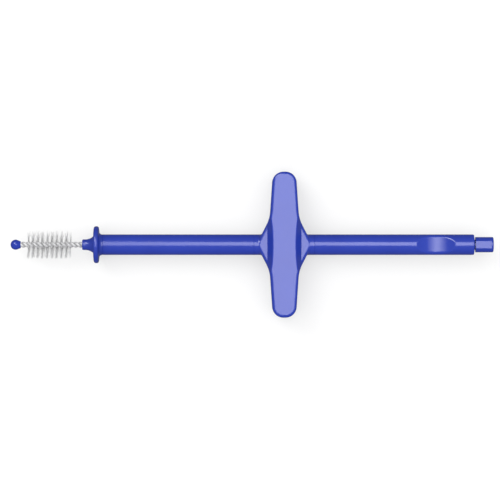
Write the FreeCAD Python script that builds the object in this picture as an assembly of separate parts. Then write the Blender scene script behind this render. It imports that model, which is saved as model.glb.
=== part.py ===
import FreeCAD, Part
import math
import os

# Ball-tipped wire brush in a winged tubular handle, millimetres.
# +X runs along the tube towards the tail knob, +Y along the wing, +Z up.
# The origin is the centre of the wing's flat underside, on which the handle rests.

V = FreeCAD.Vector

# ---- Driving dimensions -------------------------------------------------------------------

# Tube axis and its diameters
AXIS_Z = 7.65             # axis above the rest plane: half the wing's thickness
BARREL_R = 4.25           # outside of both barrels
BORE_R = 3.0              # bore in which the guide collar slides
SPIGOT_R = 3.6            # barrel ends that plug into the wing hub
ROD_R = 1.6               # drive rod
RUN_GAP = 0.07            # radial running clearance of sliding and turning fits
SEAM = 0.12               # chamfer that shows where two mouldings meet

# Stations along the tube
NOZZLE_TIP_X = -83.7
FLANGE_FRONT_X = -78.9
FLANGE_BACK_X = -76.8
CAP_END_X = -75.2         # seam between the nozzle cap and the front barrel
CAP_SPIGOT_END_X = -67.0
HUB_END_X = 12.5          # seams between the wing hub and the barrels, at both signs
TAIL_X = 78.6             # end of the rear barrel
KNOB_END_X = 86.6
TRAVEL = 26.0             # plunger travel, from brush out to ball seated on the nozzle

# Nozzle cap
NOZZLE_R = 2.2
NOZZLE_BORE_R = 1.7
NOZZLE_LIP_R = 0.45
FLARE_R = 5.1             # concave flare from the nozzle into the flange
FLARE_START_X = -82.5
FLARE_END_X = -79.3
FLANGE_R = 7.65
FLANGE_FOOT_R = 4.17      # where the flare meets the flange's front face
FLANGE_EDGE_R = 0.85      # both edges of the flange's rim
COLLAR_FILLET = 1.4       # behind the flange
BORE_FLARE = 2.0          # length of the cone that leads the ferrule back into the nozzle
BORE_FLARE_R = 2.5

# Wing grip, plan view
WING_HALF_LENGTH = 30.1
WING_END_HALF_WIDTH = 4.74
WING_CORNER_R = 4.6
SHOULDER = (6.02, 10.92)  # x, y where the arm's side would meet the hub's side
SHOULDER_R = 14.0
HUB_APEX_X = 11.56
HUB_APEX_R = 3.0
# Wing grip, heights above the axis
WING_TOP = 7.65
HUB_TOP = 4.32
FLANK_BOTTOM_X = 7.04     # straight foot of the steep flank beside the tube
FLANK_TOP_X = 4.75        # waist of the top face
FLANK_TOP_PLAN_R = 72.0   # plan radius of the flank's top edge
WING_EDGE_R = 1.2
FLANK_EDGE_R = 0.6
HUB_BLEND_R = 1.0         # hollow fillet where the hub runs into the tube
# Wing grip, inside
WING_WALL = 2.0
POCKETS = ((8.6, 13.2), (18.2, 27.2))   # stretches of |y| that are cored out
POCKET_CORNER_R = 1.2
DOWEL_Y = 15.7
DOWEL_R = 1.25
DOWEL_LENGTH = 9.0
COUPLER_R = 4.6
COUPLER_HALF_LENGTH = 4.5

# Rear barrel
SCOOP_X = 62.7
SCOOP_R = 16.6            # finger scoop, a cylinder across the tube
SCOOP_FLOOR = 2.25        # above the axis
SCOOP_EDGE_R = 1.2
THIN_BORE_X = 50.5        # the bore narrows under the scoop
KNOB_BORE_X = 71.4
KNOB_BORE_R = 3.0
TAIL_EDGE_R = 0.45

# Guide bushes and guide collar
FRONT_BUSH = (-30.0, -24.0)
COLLAR = (10.0, 18.0)
COLLAR_R = BORE_R - 0.06
RING_SECTION_R = 0.4
RING_R = 2.57             # centre of the friction ring's section
CLIP_THICKNESS = 0.5
CLIP_R = 2.6
CLIP_GROOVE_R = 1.35
CLIP_GAP = 0.1            # axial play between clips and collar
CLIP_OPENING_DEG = 70.0
STOP_GAP = 0.2            # left at the stop bush when the ball is seated

# Brush
FERRULE = (-80.5, -61.0)
FERRULE_R = 1.62
FERRULE_CRIMPS = (-77.5, -74.0, -64.0)
CRIMP_R = 0.6             # section of the crimped grooves
CRIMP_DEPTH = 0.15
ROD_NECK_X = -67.0        # front end of the rod's neck inside the ferrule
STRAND_R = 0.61
STRAND_OFFSET = 0.62      # strand centre from the axis
TWIST_PITCH = 3.94        # right-hand lay
STRAND = (-111.0, -70.0)
STEM_BORE_R = 1.25        # bore that takes the two twisted strands
BRISTLES = (-106.9, -88.0)
BRISTLE_R = 6.0
BALL_X = -111.3
BALL_R = 2.1
BALL_NECK_X = -109.2
BALL_NECK_R = 1.38

# Tail knob
KNOB_R = 3.17
KNOB_HEAD_X = 79.15       # front of the head; the stem in front of it runs in the barrel
KNOB_STEM_X = KNOB_BORE_X + 0.2
KNOB_NECK_X = 77.9        # the stem is undercut from here to the head
KNOB_NECK_R = 2.1
KNOB_EDGE_R = 0.5
KNOB_FLAT_END_X = 85.8
KNOB_FLAT_Z = 2.82        # flat's height above the axis
ROD_END_X = 83.6


# ---- Helpers ------------------------------------------------------------------------------

def rod(x0, x1, r):
    """Solid cylinder on the tube axis."""
    return Part.makeCylinder(r, x1 - x0, V(x0, 0, AXIS_Z), V(1, 0, 0))


def tube(x0, x1, r_out, r_in):
    """Hollow cylinder on the tube axis."""
    return rod(x0, x1, r_out).cut(rod(x0, x1, r_in))


def cone(x0, x1, r0, r1):
    """Solid cone frustum on the tube axis."""
    return Part.makeCone(r0, r1, x1 - x0, V(x0, 0, AXIS_Z), V(1, 0, 0))


def at(x, r):
    """Point of a lathe profile: x along the tube, r from its axis."""
    return V(x, 0, AXIS_Z + r)


def line(a, b):
    return Part.makeLine(at(*a), at(*b))


def arc(a, middle, b):
    return Part.Arc(at(*a), at(*middle), at(*b)).toShape()


def lathe(edges):
    """Solid turned about the tube axis from a closed chain of edges."""
    face = Part.Face(Part.Wire(edges))
    return face.revolve(V(0, 0, AXIS_Z), V(1, 0, 0), 360)


def circles(shape, x, r):
    """The shape's full circular edges at a station x with radius r."""
    found = []
    for edge in shape.Edges:
        curve = edge.Curve
        if isinstance(curve, Part.Circle) and abs(curve.Radius - r) < 1e-4:
            if abs(curve.Center.x - x) < 1e-4:
                found.append(edge)
    return found


# ---- Handle: nozzle, barrels, bushes ------------------------------------------------------

def nozzle_cap():
    """Nozzle, depth flange and the spigot that plugs into the front barrel."""
    turn = math.asin((FLARE_END_X - FLARE_START_X) / FLARE_R)
    flare_end = (FLARE_END_X, NOZZLE_R + FLARE_R * (1 - math.cos(turn)))
    flare_mid = (FLARE_START_X + FLARE_R * math.sin(turn / 2),
                 NOZZLE_R + FLARE_R * (1 - math.cos(turn / 2)))
    foot = (FLANGE_FRONT_X, FLANGE_FOOT_R)
    foot_r = (FLANGE_FRONT_X - FLARE_END_X) / (1 - math.sin(turn))
    foot_turn = (turn + math.pi / 2) / 2
    foot_mid = (FLARE_END_X + foot_r * (math.sin(foot_turn) - math.sin(turn)),
                flare_end[1] + foot_r * (math.cos(turn) - math.cos(foot_turn)))
    edge = FLANGE_EDGE_R
    edge_mid = edge * (1 - math.sqrt(0.5))
    rim_foot = FLANGE_R - edge
    lip = NOZZLE_LIP_R
    lip_mid = lip * (1 - math.sqrt(0.5))
    fillet = COLLAR_FILLET
    fillet_mid = fillet * (1 - math.sqrt(0.5))
    tip = NOZZLE_TIP_X
    edges = [
        line((tip, NOZZLE_BORE_R), (tip, NOZZLE_R - lip)),
        arc((tip, NOZZLE_R - lip), (tip + lip_mid, NOZZLE_R - lip_mid), (tip + lip, NOZZLE_R)),
        line((tip + lip, NOZZLE_R), (FLARE_START_X, NOZZLE_R)),
        arc((FLARE_START_X, NOZZLE_R), flare_mid, flare_end),
        arc(flare_end, foot_mid, foot),
        line(foot, (FLANGE_FRONT_X, rim_foot)),
        arc((FLANGE_FRONT_X, rim_foot), (FLANGE_FRONT_X + edge_mid, FLANGE_R - edge_mid),
            (FLANGE_FRONT_X + edge, FLANGE_R)),
        line((FLANGE_FRONT_X + edge, FLANGE_R), (FLANGE_BACK_X - edge, FLANGE_R)),
        arc((FLANGE_BACK_X - edge, FLANGE_R), (FLANGE_BACK_X - edge_mid, FLANGE_R - edge_mid),
            (FLANGE_BACK_X, rim_foot)),
        line((FLANGE_BACK_X, rim_foot), (FLANGE_BACK_X, BARREL_R + fillet)),
        arc((FLANGE_BACK_X, BARREL_R + fillet),
            (FLANGE_BACK_X + fillet_mid, BARREL_R + fillet_mid),
            (FLANGE_BACK_X + fillet, BARREL_R)),
        line((FLANGE_BACK_X + fillet, BARREL_R), (CAP_END_X - SEAM, BARREL_R)),
        line((CAP_END_X - SEAM, BARREL_R), (CAP_END_X, BARREL_R - SEAM)),
        line((CAP_END_X, BARREL_R - SEAM), (CAP_END_X, BORE_R)),
        line((CAP_END_X, BORE_R), (CAP_SPIGOT_END_X, BORE_R)),
        line((CAP_SPIGOT_END_X, BORE_R), (CAP_SPIGOT_END_X, BORE_FLARE_R)),
        line((CAP_SPIGOT_END_X, BORE_FLARE_R), (CAP_SPIGOT_END_X - BORE_FLARE, NOZZLE_BORE_R)),
        line((CAP_SPIGOT_END_X - BORE_FLARE, NOZZLE_BORE_R), (tip, NOZZLE_BORE_R)),
    ]
    return lathe(edges)


def front_barrel():
    """Plain tube from the nozzle cap to the middle of the wing hub."""
    body = rod(CAP_END_X, -HUB_END_X, BARREL_R)
    seams = circles(body, CAP_END_X, BARREL_R) + circles(body, -HUB_END_X, BARREL_R)
    body = body.makeChamfer(SEAM, seams)
    body = body.fuse(rod(-HUB_END_X, 0, SPIGOT_R))
    return body.cut(rod(CAP_END_X, 0, BORE_R))


def rear_barrel():
    """Moulded tube with the finger scoop and the counterbore for the tail knob."""
    body = rod(HUB_END_X, TAIL_X, BARREL_R)
    body = body.makeChamfer(SEAM, circles(body, HUB_END_X, BARREL_R))
    body = body.makeFillet(TAIL_EDGE_R, circles(body, TAIL_X, BARREL_R))
    scoop_axis = V(SCOOP_X, -2 * BARREL_R, AXIS_Z + SCOOP_FLOOR + SCOOP_R)
    scoop = Part.makeCylinder(SCOOP_R, 4 * BARREL_R, scoop_axis, V(0, 1, 0))
    body = body.cut(scoop)
    rim = [e for e in body.Edges if not isinstance(e.Curve, (Part.Circle, Part.Line))]
    body = body.makeFillet(SCOOP_EDGE_R, rim)
    body = body.fuse(rod(0, HUB_END_X, SPIGOT_R))
    body = body.cut(rod(0, THIN_BORE_X, BORE_R))
    body = body.cut(rod(THIN_BORE_X, KNOB_BORE_X, ROD_R + RUN_GAP))
    body = body.cut(rod(KNOB_BORE_X, TAIL_X, KNOB_BORE_R))
    return body.cut(cone(TAIL_X - 2 * SEAM, TAIL_X, KNOB_BORE_R, KNOB_BORE_R + 2 * SEAM))


def barrel_coupler():
    """Sleeve pressed over both barrel spigots inside the wing."""
    return tube(-COUPLER_HALF_LENGTH, COUPLER_HALF_LENGTH, COUPLER_R, SPIGOT_R)


def front_guide_bush():
    """Bush that centres the rod in the front barrel."""
    return tube(FRONT_BUSH[0], FRONT_BUSH[1], BORE_R, ROD_R + RUN_GAP)


def stop_bush():
    """Bush in which the rod runs, and against which the collar's clip ends its travel."""
    front = clip_stations()[1] + CLIP_THICKNESS + TRAVEL + STOP_GAP
    return tube(front, THIN_BORE_X, BORE_R, ROD_R + RUN_GAP)


# ---- Handle: wing grip --------------------------------------------------------------------

def wing_outline_prism(height):
    """The wing's plan outline, raised from the axis plane, with its plan corners rounded."""
    corners = [
        (WING_END_HALF_WIDTH, WING_HALF_LENGTH), SHOULDER, (HUB_APEX_X, 0),
        (SHOULDER[0], -SHOULDER[1]), (WING_END_HALF_WIDTH, -WING_HALF_LENGTH),
    ]
    corners += [(-x, y) for x, y in reversed(corners)]
    points = [V(x, y, AXIS_Z) for x, y in corners]
    prism = Part.Face(Part.makePolygon(points + points[:1])).extrude(V(0, 0, height))
    for radius, x in ((WING_CORNER_R, WING_END_HALF_WIDTH),
                      (SHOULDER_R, SHOULDER[0]), (HUB_APEX_R, HUB_APEX_X)):
        upright = [e for e in prism.Edges
                   if len(e.Vertexes) == 2
                   and abs(e.Vertexes[0].X - e.Vertexes[1].X) < 1e-6
                   and abs(e.Vertexes[0].Y - e.Vertexes[1].Y) < 1e-6
                   and abs(abs(e.Vertexes[0].X) - x) < 1e-6]
        prism = prism.makeFillet(radius, upright)
    return prism


def flank_cutter(side):
    """Space beside the raised grip: a ruled wall, straight at its foot and bowed at its top."""
    reach = 18.0
    far = 3 * HUB_APEX_X
    sections = []
    for step in (-0.5, 1.4):
        z = AXIS_Z + HUB_TOP + step * (WING_TOP - HUB_TOP)
        waist = FLANK_BOTTOM_X - step * (FLANK_BOTTOM_X - FLANK_TOP_X)
        bow = step * reach ** 2 / (2 * FLANK_TOP_PLAN_R)
        low = V(side * (waist + bow), -reach, z)
        high = V(side * (waist + bow), reach, z)
        wall = Part.Arc(low, V(side * waist, 0, z), high).toShape()
        rest = Part.makePolygon([high, V(side * far, reach, z), V(side * far, -reach, z), low])
        sections.append(Part.Wire([wall] + rest.Edges))
    return Part.makeLoft(sections, True, True)


def top_edges(shape, height):
    """Edges that lie in the plane at this height above the axis."""
    level = AXIS_Z + height
    return [e for e in shape.Edges if all(abs(v.Z - level) < 1e-4 for v in e.Vertexes)]


def raised_grip():
    """The bar under the fingers, full thickness, with its edges rounded."""
    grip = wing_outline_prism(WING_TOP)
    grip = grip.makeFillet(WING_EDGE_R, top_edges(grip, WING_TOP))
    for side in (-1, 1):
        grip = grip.cut(flank_cutter(side))
    waists = [e for e in top_edges(grip, WING_TOP)
              if abs(e.Vertexes[0].Y + e.Vertexes[-1].Y) < 1e-3 and abs(e.Vertexes[0].Y) > 5]
    return grip.makeFillet(FLANK_EDGE_R, waists)


def hub():
    """Low diamond plate that swells into the tube, with the sleeves that hold the barrels."""
    plate = wing_outline_prism(HUB_TOP)
    plate = plate.makeFillet(WING_EDGE_R, top_edges(plate, HUB_TOP))
    above = Part.makeBox(2 * HUB_END_X, 4 * BARREL_R, 2 * BARREL_R,
                         V(-HUB_END_X, -2 * BARREL_R, AXIS_Z))
    joined = plate.fuse(rod(-HUB_END_X, HUB_END_X, BARREL_R).common(above))
    hollow = [e for e in joined.Edges if runs_along_sleeve(e)]
    return joined.makeFillet(HUB_BLEND_R, hollow)


def runs_along_sleeve(edge):
    """True for an edge where the hub plate meets the outside of its sleeve."""
    middle = edge.valueAt((edge.FirstParameter + edge.LastParameter) / 2)
    points = [middle] + [v.Point for v in edge.Vertexes]
    on_sleeve = all(abs(math.hypot(p.y, p.z - AXIS_Z) - BARREL_R) < 2e-3 for p in points)
    short_of_end = all(abs(p.x) < HUB_END_X - 0.1 for p in points)
    return on_sleeve and short_of_end and middle.z > AXIS_Z + 0.05


def side_half_width(y):
    """Half-width of the arm's straight side at a distance y from the tube."""
    share = (WING_HALF_LENGTH - y) / (WING_HALF_LENGTH - SHOULDER[1])
    return WING_END_HALF_WIDTH + share * (SHOULDER[0] - WING_END_HALF_WIDTH)


def pocket(y0, y1):
    """Cored-out space in one arm of the upper shell, open at the parting plane."""
    near = side_half_width(y0) - WING_WALL
    tip = side_half_width(y1) - WING_WALL
    corners = [V(near, y0, AXIS_Z), V(tip, y1, AXIS_Z), V(-tip, y1, AXIS_Z), V(-near, y0, AXIS_Z)]
    face = Part.Face(Part.makePolygon(corners + corners[:1]))
    space = face.extrude(V(0, 0, WING_TOP - WING_WALL))
    upright = [e for e in space.Edges
               if abs(e.Vertexes[0].Z - e.Vertexes[1].Z) > WING_TOP - WING_WALL - 1e-6]
    return space.makeFillet(POCKET_CORNER_R, upright)


def dowel(side, gap):
    """Cylinder of one dowel, or with a gap its hole."""
    half = DOWEL_LENGTH / 2 + gap
    return Part.makeCylinder(DOWEL_R, 2 * half, V(0, side * DOWEL_Y, AXIS_Z - half))


def wing_upper_shell():
    """Upper half of the grip: outside form, cored pockets, seat for the barrels."""
    shell = raised_grip().fuse(hub()).removeSplitter()
    level = [e for e in top_edges(shell, 0) if not on_hub_end(e)]
    shell = shell.makeChamfer(SEAM, level)
    shell = shell.cut(rod(-HUB_END_X, HUB_END_X, SPIGOT_R))
    shell = shell.cut(rod(-COUPLER_HALF_LENGTH, COUPLER_HALF_LENGTH, COUPLER_R))
    for side in (-1, 1):
        shell = shell.cut(dowel(side, 0.1))
        for y0, y1 in POCKETS:
            space = pocket(y0, y1)
            if side < 0:
                space = space.mirror(V(0, 0, 0), V(0, 1, 0))
            shell = shell.cut(space)
    return shell


def on_hub_end(edge):
    """True for an edge that lies on an end face of the hub's sleeves."""
    return all(abs(abs(v.X) - HUB_END_X) < 1e-4 for v in edge.Vertexes)


def wing_lower_shell():
    """Lower half of the grip: the upper half turned over about the parting plane."""
    return wing_upper_shell().mirror(V(0, 0, AXIS_Z), V(0, 0, 1))


def wing_dowels():
    """Two dowels that locate the grip's halves on each other."""
    return Part.makeCompound([dowel(side, 0) for side in (-1, 1)])


# ---- Sliding collar -----------------------------------------------------------------------

def guide_collar():
    """Collar that slides in the bore and lets the rod turn, with its ring's groove."""
    body = tube(COLLAR[0], COLLAR[1], COLLAR_R, ROD_R + RUN_GAP)
    middle = (COLLAR[0] + COLLAR[1]) / 2
    half = RING_SECTION_R + 0.05
    groove = tube(middle - half, middle + half, BORE_R, RING_R - RING_SECTION_R - 0.02)
    return body.cut(groove)


def friction_ring():
    """Soft ring in the collar's groove that holds the plunger where it is put."""
    middle = (COLLAR[0] + COLLAR[1]) / 2
    return Part.makeTorus(RING_R, RING_SECTION_R, V(middle, 0, AXIS_Z), V(1, 0, 0))


# ---- Spindle: rod, clips, brush, knob -----------------------------------------------------

def clip_stations():
    """Start of each clip along the tube, one at each end of the collar."""
    return (COLLAR[0] - CLIP_GAP - CLIP_THICKNESS, COLLAR[1] + CLIP_GAP)


def drive_rod():
    """Rod from the brush ferrule to the tail knob, necked at its front and at its clips."""
    body = rod(FERRULE[1], ROD_END_X, ROD_R).fuse(rod(ROD_NECK_X, FERRULE[1], STEM_BORE_R))
    for x in clip_stations():
        body = body.cut(tube(x, x + CLIP_THICKNESS, 2 * ROD_R, CLIP_GROOVE_R))
    return body


def collar_clips():
    """Two open spring clips in the rod's grooves that carry the collar along."""
    clips = []
    for x in clip_stations():
        clip = tube(x, x + CLIP_THICKNESS, CLIP_R, CLIP_GROOVE_R)
        opening = Part.makeCylinder(2 * CLIP_R, CLIP_THICKNESS, V(x, 0, AXIS_Z), V(1, 0, 0),
                                    CLIP_OPENING_DEG)
        clips.append(clip.cut(opening))
    return Part.makeCompound(clips)


def brush_ferrule():
    """Thin tube crimped over the twisted stem in front and over the rod's neck behind."""
    body = tube(FERRULE[0], FERRULE[1], FERRULE_R, STEM_BORE_R)
    for x in FERRULE_CRIMPS:
        body = body.cut(Part.makeTorus(FERRULE_R + CRIMP_R - CRIMP_DEPTH, CRIMP_R,
                                       V(x, 0, AXIS_Z), V(1, 0, 0)))
    return body


def wire_strand(phase_deg):
    """One of the two strands twisted round each other into the brush stem."""
    length = STRAND[1] - STRAND[0]
    helix = Part.makeHelix(TWIST_PITCH, length, STRAND_OFFSET)
    start = V(STRAND_OFFSET, 0, 0)
    climb = TWIST_PITCH / (2 * math.pi)
    section = Part.Wire(Part.makeCircle(STRAND_R, start, V(0, STRAND_OFFSET, climb)))
    strand = Part.Wire(helix).makePipeShell([section], True, True)
    strand.rotate(V(0, 0, 0), V(0, 0, 1), phase_deg)
    strand.rotate(V(0, 0, 0), V(0, 1, 0), 90)
    strand.translate(V(STRAND[0], 0, AXIS_Z))
    return strand


def wire_strand_a():
    return wire_strand(0)


def wire_strand_b():
    return wire_strand(180)


def bristles():
    """Closed envelope of the spiral of filaments, swept by their tips."""
    return tube(BRISTLES[0], BRISTLES[1], BRISTLE_R, STEM_BORE_R)


def tip_ball():
    """Moulded ball with a drop-shaped neck and a blind hole for the stem."""
    reach = math.hypot(BALL_NECK_X - BALL_X, BALL_NECK_R)
    angle = math.atan2(BALL_NECK_R, BALL_NECK_X - BALL_X) + math.acos(BALL_R / reach)
    tangent = (BALL_X + BALL_R * math.cos(angle), BALL_R * math.sin(angle))
    pole = (BALL_X - BALL_R, 0)
    side = (BALL_X, BALL_R)
    hole_end = STRAND[0] - STRAND_R - 0.1
    edges = [
        arc(pole, (BALL_X - BALL_R * math.sqrt(0.5), BALL_R * math.sqrt(0.5)), side),
        arc(side, (BALL_X + BALL_R * math.sin((math.pi / 2 - angle) / 2),
                   BALL_R * math.cos((math.pi / 2 - angle) / 2)), tangent),
        line(tangent, (BALL_NECK_X, BALL_NECK_R)),
        line((BALL_NECK_X, BALL_NECK_R), (BALL_NECK_X, STEM_BORE_R)),
        line((BALL_NECK_X, STEM_BORE_R), (hole_end, STEM_BORE_R)),
        line((hole_end, STEM_BORE_R), (hole_end, 0)),
        line((hole_end, 0), pole),
    ]
    return lathe(edges)


def tail_knob():
    """Knob that pulls and turns the rod: a flattened head, an undercut, a stem in the barrel."""
    head = rod(KNOB_HEAD_X, KNOB_END_X, KNOB_R)
    head = head.makeFillet(KNOB_EDGE_R, circles(head, KNOB_END_X, KNOB_R))
    flat = Part.makeBox(KNOB_FLAT_END_X - KNOB_HEAD_X, 2 * KNOB_R, KNOB_R,
                        V(KNOB_HEAD_X, -KNOB_R, AXIS_Z + KNOB_FLAT_Z))
    stem = rod(KNOB_STEM_X, KNOB_NECK_X, KNOB_BORE_R - RUN_GAP)
    neck = rod(KNOB_NECK_X, KNOB_HEAD_X, KNOB_NECK_R)
    return head.cut(flat).fuse([stem, neck]).cut(rod(KNOB_STEM_X, ROD_END_X, ROD_R))


# ---- Parts --------------------------------------------------------------------------------

NODES = (
    nozzle_cap, front_barrel, rear_barrel, barrel_coupler, front_guide_bush, stop_bush,
    wing_upper_shell, wing_lower_shell, wing_dowels,
    guide_collar, friction_ring,
    drive_rod, collar_clips, brush_ferrule, wire_strand_a, wire_strand_b, bristles,
    tip_ball, tail_knob,
)

os.makedirs("parts", exist_ok=True)
for make in NODES:
    shape = make()
    print(make.__name__, shape.isValid(), len(shape.Solids), round(shape.Volume, 1))
    shape.exportStep("parts/" + make.__name__ + ".step")
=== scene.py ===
import math
import random

import bpy
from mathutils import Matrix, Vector


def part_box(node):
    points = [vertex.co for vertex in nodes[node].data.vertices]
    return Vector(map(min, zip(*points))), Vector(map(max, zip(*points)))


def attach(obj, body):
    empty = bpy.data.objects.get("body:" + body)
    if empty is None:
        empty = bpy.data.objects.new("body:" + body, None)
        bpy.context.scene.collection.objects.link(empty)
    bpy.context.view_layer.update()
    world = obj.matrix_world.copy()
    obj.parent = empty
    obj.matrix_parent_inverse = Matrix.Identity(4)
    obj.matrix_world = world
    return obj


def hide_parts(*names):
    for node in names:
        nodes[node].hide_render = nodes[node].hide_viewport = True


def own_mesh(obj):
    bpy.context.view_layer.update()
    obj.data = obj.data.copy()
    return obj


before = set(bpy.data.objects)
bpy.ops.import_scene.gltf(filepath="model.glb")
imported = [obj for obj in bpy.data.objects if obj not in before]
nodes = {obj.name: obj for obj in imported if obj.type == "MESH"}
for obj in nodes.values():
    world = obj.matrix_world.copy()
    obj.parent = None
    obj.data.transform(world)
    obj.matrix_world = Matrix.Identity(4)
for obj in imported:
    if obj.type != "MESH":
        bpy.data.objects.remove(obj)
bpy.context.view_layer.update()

# Ball-tipped wire brush in a winged tubular handle. Metres, +X towards the tail, +Z up.
# The handle and the mechanism keep their CAD shapes and get their finish here. The brush's
# filaments are modelled one by one in place of the CAD model's plain envelope.

MM = 0.001
TURN = 2 * math.pi

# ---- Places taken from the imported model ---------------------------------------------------

tuft_low, tuft_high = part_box("bristles")
AXIS_Z = (tuft_low.z + tuft_high.z) / 2
TUFT_R = (tuft_high.z - tuft_low.z) / 2
TUFT_X0 = tuft_low.x
TUFT_X1 = tuft_high.x


# ---- Materials ----------------------------------------------------------------------------

def new_material(name, roughness, ior=1.5, metallic=0.0):
    """A Principled material, with what is the same all over set on the shader's own sockets."""
    material = bpy.data.materials.new(name)
    material.use_nodes = True
    shader = material.node_tree.nodes["Principled BSDF"]
    shader.inputs["Roughness"].default_value = roughness
    shader.inputs["IOR"].default_value = ior
    shader.inputs["Metallic"].default_value = metallic
    return material, material.node_tree, shader


def add_noise(tree, scale, detail=3.0, stretch=(1.0, 1.0, 1.0)):
    """Noise in object space, so that it stays on the piece. Its scale is in cells per metre."""
    place = tree.nodes.new("ShaderNodeTexCoord")
    mapping = tree.nodes.new("ShaderNodeMapping")
    mapping.inputs["Scale"].default_value = stretch
    noise = tree.nodes.new("ShaderNodeTexNoise")
    noise.inputs["Scale"].default_value = scale
    noise.inputs["Detail"].default_value = detail
    tree.links.new(place.outputs["Object"], mapping.inputs["Vector"])
    tree.links.new(mapping.outputs["Vector"], noise.inputs["Vector"])
    return noise


def vary_colour(tree, shader, noise, dark, light):
    """Lets a noise run the colour between two close tones."""
    ramp = tree.nodes.new("ShaderNodeValToRGB")
    ramp.color_ramp.elements[0].position = 0.35
    ramp.color_ramp.elements[1].position = 0.65
    ramp.color_ramp.elements[0].color = (*dark, 1)
    ramp.color_ramp.elements[1].color = (*light, 1)
    tree.links.new(noise.outputs["Fac"], ramp.inputs["Fac"])
    tree.links.new(ramp.outputs["Color"], shader.inputs["Base Color"])


def vary_roughness(tree, shader, noise, low, high):
    """Lets a noise run the roughness between two limits."""
    spread = tree.nodes.new("ShaderNodeMapRange")
    spread.inputs["From Min"].default_value = 0.3
    spread.inputs["From Max"].default_value = 0.7
    spread.inputs["To Min"].default_value = low
    spread.inputs["To Max"].default_value = high
    tree.links.new(noise.outputs["Fac"], spread.inputs["Value"])
    tree.links.new(spread.outputs["Result"], shader.inputs["Roughness"])


def add_bump(tree, shader, source, strength, distance):
    """Raises the surface by a noise, up to a distance in metres."""
    bump = tree.nodes.new("ShaderNodeBump")
    bump.inputs["Strength"].default_value = strength
    bump.inputs["Distance"].default_value = distance
    tree.links.new(source.outputs["Fac"], bump.inputs["Height"])
    tree.links.new(bump.outputs["Normal"], shader.inputs["Normal"])


def blue_plastic(name, smoothest, roughest):
    """Royal-blue moulding: faintly cloudy, faintly uneven in gloss, faintly wavy."""
    material, tree, shader = new_material(name, smoothest)
    cloud = add_noise(tree, 60.0, 2.0)
    vary_colour(tree, shader, cloud, (0.0168, 0.0385, 0.340), (0.0190, 0.0430, 0.362))
    gloss = add_noise(tree, 900.0, 4.0)
    vary_roughness(tree, shader, gloss, smoothest, roughest)
    waves = add_noise(tree, 250.0, 1.0)
    add_bump(tree, shader, waves, 0.03, 0.01 * MM)
    return material


def acetal():
    """Natural acetal: smooth, with fine marks along the piece."""
    material, tree, shader = new_material("natural_acetal", 0.35, 1.48)
    cloud = add_noise(tree, 300.0)
    vary_colour(tree, shader, cloud, (0.70, 0.69, 0.66), (0.80, 0.79, 0.76))
    gloss = add_noise(tree, 2500.0)
    vary_roughness(tree, shader, gloss, 0.30, 0.42)
    marks = add_noise(tree, 3000.0, 2.0, (0.05, 1, 1))
    add_bump(tree, shader, marks, 0.15, 0.01 * MM)
    return material


def soft_ring():
    """Black rubber with a fine grain."""
    material, tree, shader = new_material("soft_ring", 0.55)
    cloud = add_noise(tree, 900.0)
    vary_colour(tree, shader, cloud, (0.012, 0.012, 0.013), (0.03, 0.03, 0.032))
    grain = add_noise(tree, 6000.0)
    add_bump(tree, shader, grain, 0.3, 0.01 * MM)
    return material


def drawn_metal(name, dark, light, roughness, metallic=1.0):
    """Metal drawn through a die: fine lines along the piece."""
    material, tree, shader = new_material(name, roughness, 1.8, metallic)
    lines = add_noise(tree, 5000.0, 3.0, (0.04, 1, 1))
    vary_colour(tree, shader, lines, dark, light)
    vary_roughness(tree, shader, lines, roughness - 0.06, roughness + 0.08)
    add_bump(tree, shader, lines, 0.2, 0.005 * MM)
    return material


def nylon_filament():
    """Fine nylon, pale grey and half clear."""
    material, tree, shader = new_material("nylon_filament", 0.25, 1.53)
    shader.inputs["Transmission Weight"].default_value = 0.5
    cloud = add_noise(tree, 1500.0)
    vary_colour(tree, shader, cloud, (0.72, 0.72, 0.73), (0.83, 0.83, 0.84))
    return material


def dress(material, *names):
    """Gives CAD nodes their finish."""
    for name in names:
        mesh = nodes[name].data
        mesh.materials.clear()
        mesh.materials.append(material)


dress(blue_plastic("blue_plastic", 0.15, 0.19), "front_barrel", "rear_barrel", "barrel_coupler",
      "wing_upper_shell", "wing_lower_shell", "wing_dowels", "tail_knob")
dress(blue_plastic("polished_blue_plastic", 0.08, 0.11), "tip_ball")
dress(blue_plastic("satin_blue_plastic", 0.21, 0.26), "nozzle_cap")
dress(acetal(), "front_guide_bush", "stop_bush", "guide_collar", "drive_rod")
dress(soft_ring(), "friction_ring")
dress(drawn_metal("spring_steel", (0.42, 0.42, 0.43), (0.55, 0.55, 0.56), 0.30), "collar_clips")
dress(drawn_metal("stem_wire", (0.50, 0.50, 0.51), (0.62, 0.62, 0.63), 0.52, 0.25),
      "wire_strand_a", "wire_strand_b")
dress(drawn_metal("ferrule_brass", (0.52, 0.40, 0.16), (0.66, 0.52, 0.24), 0.28), "brush_ferrule")


# ---- Bristles -----------------------------------------------------------------------------

TWIST_PITCH = 3.94 * MM    # lay of the stem, which sets the pitch of the double spiral
TWIST_PHASE = -0.47        # angle of the first blade at the tuft's front end, in radians
FILAMENTS = 560            # each spans the tuft from side to side
FILAMENT_R = 0.036 * MM
TAPER = 0.55               # share of its thickness that a filament loses towards its tip
ROOT_R = 0.5 * MM          # where a filament comes out from between the strands
SHORTEST = (0.86, 0.56)    # shortest filament as a share of the tuft's radius, on -Y and +Y
LONGEST = 0.99
BUNCHING = 0.80            # how strongly filaments gather where their blade lies flat
SPREAD = (0.11, 0.70)      # how far a filament strays from its blade, in radians: most, and some
STRAYS = 0.30              # share of the filaments that stray far
LEAN = (0.45 * MM, 0.85 * MM)    # how far a tip strays along the stem, on -Y and +Y
SHEAR = 0.27 * MM          # how far the tips on each side are pushed apart along the stem
BOW = 0.3 * MM             # how far a tip is bent sideways
MARGIN = 0.57 * MM         # bare stem left at each end of the tuft
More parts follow.
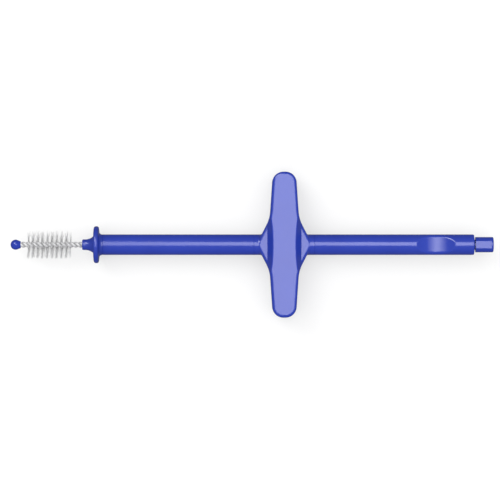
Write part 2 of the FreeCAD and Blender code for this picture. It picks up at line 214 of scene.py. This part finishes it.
SECTORS = 16               # the tuft is split into this many sectors round the stem
SIDES = 4                  # of a filament's section
STEPS = 4                  # along a filament


def filament_half(verts, faces, x, angle, length, lean, bow):
    """Adds one half filament: a thin tapering prism from the stem out to its tip, slightly bowed."""
    out = Vector((0, math.cos(angle), math.sin(angle)))
    across = Vector((0, -math.sin(angle), math.cos(angle)))
    along = Vector((1, 0, 0))
    first = len(verts)
    for step in range(STEPS + 1):
        share = step / STEPS
        r = ROOT_R + (length - ROOT_R) * share
        centre = Vector((x, 0, AXIS_Z)) + out * r + along * lean * share ** 2
        centre += across * bow * share ** 2
        thick = FILAMENT_R * (1 - TAPER * share)
        for side in range(SIDES):
            turn = TURN * side / SIDES
            verts.append(centre + along * thick * math.cos(turn) + across * thick * math.sin(turn))
    for step in range(STEPS):
        for side in range(SIDES):
            a = first + step * SIDES + side
            b = first + step * SIDES + (side + 1) % SIDES
            faces.append((a, b, b + SIDES, a + SIDES))
    faces.append(tuple(first + side for side in reversed(range(SIDES))))
    faces.append(tuple(first + STEPS * SIDES + side for side in range(SIDES)))


def bristle_sectors():
    """The tuft as sectors round the stem, each a mesh of half filaments."""
    rng = random.Random(7)
    sectors = [([], []) for _ in range(SECTORS)]
    radians_per_metre = TURN / TWIST_PITCH
    room = TUFT_X1 - TUFT_X0 - 2 * MARGIN
    for number in range(FILAMENTS):
        share = (number + rng.random()) / FILAMENTS
        even = TWIST_PHASE + share * room * radians_per_metre
        blade = even - BUNCHING * math.sin(2 * even) / 2
        x = TUFT_X0 + MARGIN + (blade - TWIST_PHASE) / radians_per_metre
        for half in (0, math.pi):
            spread = SPREAD[rng.random() < STRAYS]
            angle = (blade + half + rng.gauss(0, spread)) % TURN
            side = int(math.cos(angle) > 0)
            length = TUFT_R * rng.uniform(SHORTEST[side], LONGEST)
            lean = rng.uniform(-LEAN[side], LEAN[side]) + SHEAR * math.cos(angle)
            lean = min(max(lean, TUFT_X0 + FILAMENT_R - x), TUFT_X1 - FILAMENT_R - x)
            bow = rng.uniform(-BOW, BOW)
            sector = int(angle / TURN * SECTORS) % SECTORS
            filament_half(*sectors[sector], x, angle, length, lean, bow)
    return sectors


def add_bristles():
    """Makes the sectors into pieces that ride on the spindle."""
    material = nylon_filament()
    for number, (verts, faces) in enumerate(bristle_sectors()):
        mesh = bpy.data.meshes.new(f"bristle_sector_{number:02d}")
        mesh.from_pydata(verts, [], faces)
        mesh.materials.append(material)
        mesh.shade_smooth()
        piece = bpy.data.objects.new(mesh.name, mesh)
        bpy.context.scene.collection.objects.link(piece)
        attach(piece, "spindle")
        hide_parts("bristles")
        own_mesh(piece)


add_bristles()


# ---- Stage: floor, lights, camera ---------------------------------------------------------

FLOOR_REACH = 3.0          # half the floor's side
FLOOR_GLOW = 0.55          # the floor is a light table: its own radiance
FLOOR_TONE = 0.32          # and the share of the other light that it gives back

FILL_LOW = 0.10            # radiance of the surroundings as light, at the horizon and below
FILL_HIGH = 2.08           # and overhead
GLOSS_LOW = 0.22           # radiance of the surroundings in reflections, below the horizon
GLOSS_HIGH = 0.25          # and above it
GLOSS_RISE = (-0.2, 0.4)   # the heights of the reflected direction between which it changes

OVERHEAD = (0.075, 0.17)   # middle of the overhead softboxes in X and Y
OVERHEAD_Z = 1.0
OVERHEAD_STEP = 0.02       # each softbox hangs this much above the one before
OVERHEAD_WIDTHS = (0.92, 0.66, 0.44, 0.26)   # in X; together they are brightest in the middle
OVERHEAD_DEPTH = 0.74      # in Y
OVERHEAD_RADIANCE = 1.35   # of each

GLINT_PLACE = (-0.5, 0.68, 1.0)   # the small softbox that lights the edges
GLINT_SIZE = (0.6, 0.5)
GLINT = 9.0                # its radiance

KEY_PLACE = (-0.8, 0.8, 0.9)      # the softbox that casts the shadows on the floor
KEY_SIZE = (0.9, 0.9)
KEY = 3.3                  # its radiance

VIEW_WIDTH = 207.15 * MM   # what the camera sees from side to side
VIEW_CENTRE = (-14.2 * MM, -2.2 * MM)
CAMERA_HEIGHT = 1.2        # above the tube's axis


def add_floor():
    """Plain pale light table. It isn't mirrored in the gloss and doesn't light the object."""
    mesh = bpy.data.meshes.new("floor")
    corners = [(x * FLOOR_REACH, y * FLOOR_REACH, 0) for x, y in ((-1, -1), (1, -1), (1, 1), (-1, 1))]
    mesh.from_pydata(corners, [], [(0, 1, 2, 3)])
    floor = bpy.data.objects.new("floor", mesh)
    bpy.context.scene.collection.objects.link(floor)
    material, tree, shader = new_material("floor", 0.9)
    shader.inputs["Specular IOR Level"].default_value = 0.0
    shader.inputs["Base Color"].default_value = (FLOOR_TONE, FLOOR_TONE, FLOOR_TONE, 1)
    shader.inputs["Emission Color"].default_value = (1, 1, 1, 1)
    shader.inputs["Emission Strength"].default_value = FLOOR_GLOW
    material.cycles.emission_sampling = "NONE"
    mesh.materials.append(material)
    floor.visible_glossy = False
    floor.visible_diffuse = False
    return floor


def add_softbox(name, place, aim, size, radiance, in_gloss):
    """A rectangular softbox. It either shows in reflections or gives the soft light, not both."""
    width, height = size
    data = bpy.data.lights.new(name, "AREA")
    data.shape = "RECTANGLE"
    data.size = width
    data.size_y = height
    data.energy = radiance * math.pi * width * height
    light = bpy.data.objects.new(name, data)
    light.location = place
    light.rotation_euler = (Vector(aim) - Vector(place)).to_track_quat("-Z", "Y").to_euler()
    light.visible_camera = False
    light.visible_glossy = in_gloss
    light.visible_diffuse = not in_gloss
    light.visible_transmission = not in_gloss
    bpy.context.scene.collection.objects.link(light)
    return light


def light_only(light, receiver):
    """Keeps a light for one object; the others still cast their shadows on it."""
    receivers = bpy.data.collections.new(light.name + "_receivers")
    receivers.objects.link(receiver)
    light.light_linking.receiver_collection = receivers


def add_lights(floor):
    """Overhead softboxes and a glint for the gloss, and a key for the shadows on the floor."""
    for level, width in enumerate(OVERHEAD_WIDTHS):
        place = (*OVERHEAD, OVERHEAD_Z + OVERHEAD_STEP * level)
        size = (width, OVERHEAD_DEPTH)
        add_softbox("overhead", place, (*OVERHEAD, 0.0), size, OVERHEAD_RADIANCE, True)
    centre = (0.0, 0.0, 0.0)
    add_softbox("glint", GLINT_PLACE, centre, GLINT_SIZE, GLINT, True)
    key = add_softbox("key", KEY_PLACE, centre, KEY_SIZE, KEY, False)
    light_only(key, floor)


def add_world():
    """White surroundings, brightest overhead as light, and dim in reflections."""
    world = bpy.data.worlds.new("studio")
    world.use_nodes = True
    tree = world.node_tree
    ray = tree.nodes.new("ShaderNodeLightPath")
    place = tree.nodes.new("ShaderNodeTexCoord")
    parts = tree.nodes.new("ShaderNodeSeparateXYZ")
    tree.links.new(place.outputs["Generated"], parts.inputs["Vector"])
    gloss = tree.nodes.new("ShaderNodeMapRange")
    gloss.inputs["From Min"].default_value = GLOSS_RISE[0]
    gloss.inputs["From Max"].default_value = GLOSS_RISE[1]
    gloss.inputs["To Min"].default_value = GLOSS_LOW
    gloss.inputs["To Max"].default_value = GLOSS_HIGH
    tree.links.new(parts.outputs["Z"], gloss.inputs["Value"])
    light = tree.nodes.new("ShaderNodeMapRange")
    light.inputs["To Min"].default_value = FILL_LOW
    light.inputs["To Max"].default_value = FILL_HIGH
    tree.links.new(parts.outputs["Z"], light.inputs["Value"])
    seen_or_light = tree.nodes.new("ShaderNodeMix")
    tree.links.new(ray.outputs["Is Camera Ray"], seen_or_light.inputs["Factor"])
    tree.links.new(light.outputs["Result"], seen_or_light.inputs["A"])
    seen_or_light.inputs["B"].default_value = 1.0
    strength = tree.nodes.new("ShaderNodeMix")
    tree.links.new(ray.outputs["Is Glossy Ray"], strength.inputs["Factor"])
    tree.links.new(seen_or_light.outputs["Result"], strength.inputs["A"])
    tree.links.new(gloss.outputs["Result"], strength.inputs["B"])
    background = tree.nodes["Background"]
    background.inputs["Color"].default_value = (1, 1, 1, 1)
    tree.links.new(strength.outputs["Result"], background.inputs["Strength"])
    bpy.context.scene.world = world


def add_camera():
    """Straight above the object and far off, so that it is seen almost without perspective."""
    data = bpy.data.cameras.new("camera")
    data.sensor_width = 36.0
    data.lens = data.sensor_width * CAMERA_HEIGHT / VIEW_WIDTH
    data.clip_end = 20.0
    camera = bpy.data.objects.new("camera", data)
    camera.location = (*VIEW_CENTRE, AXIS_Z + CAMERA_HEIGHT)
    bpy.context.scene.collection.objects.link(camera)
    bpy.context.scene.camera = camera


add_lights(add_floor())
add_world()
add_camera()
bpy.context.scene.view_settings.view_transform = "Standard"
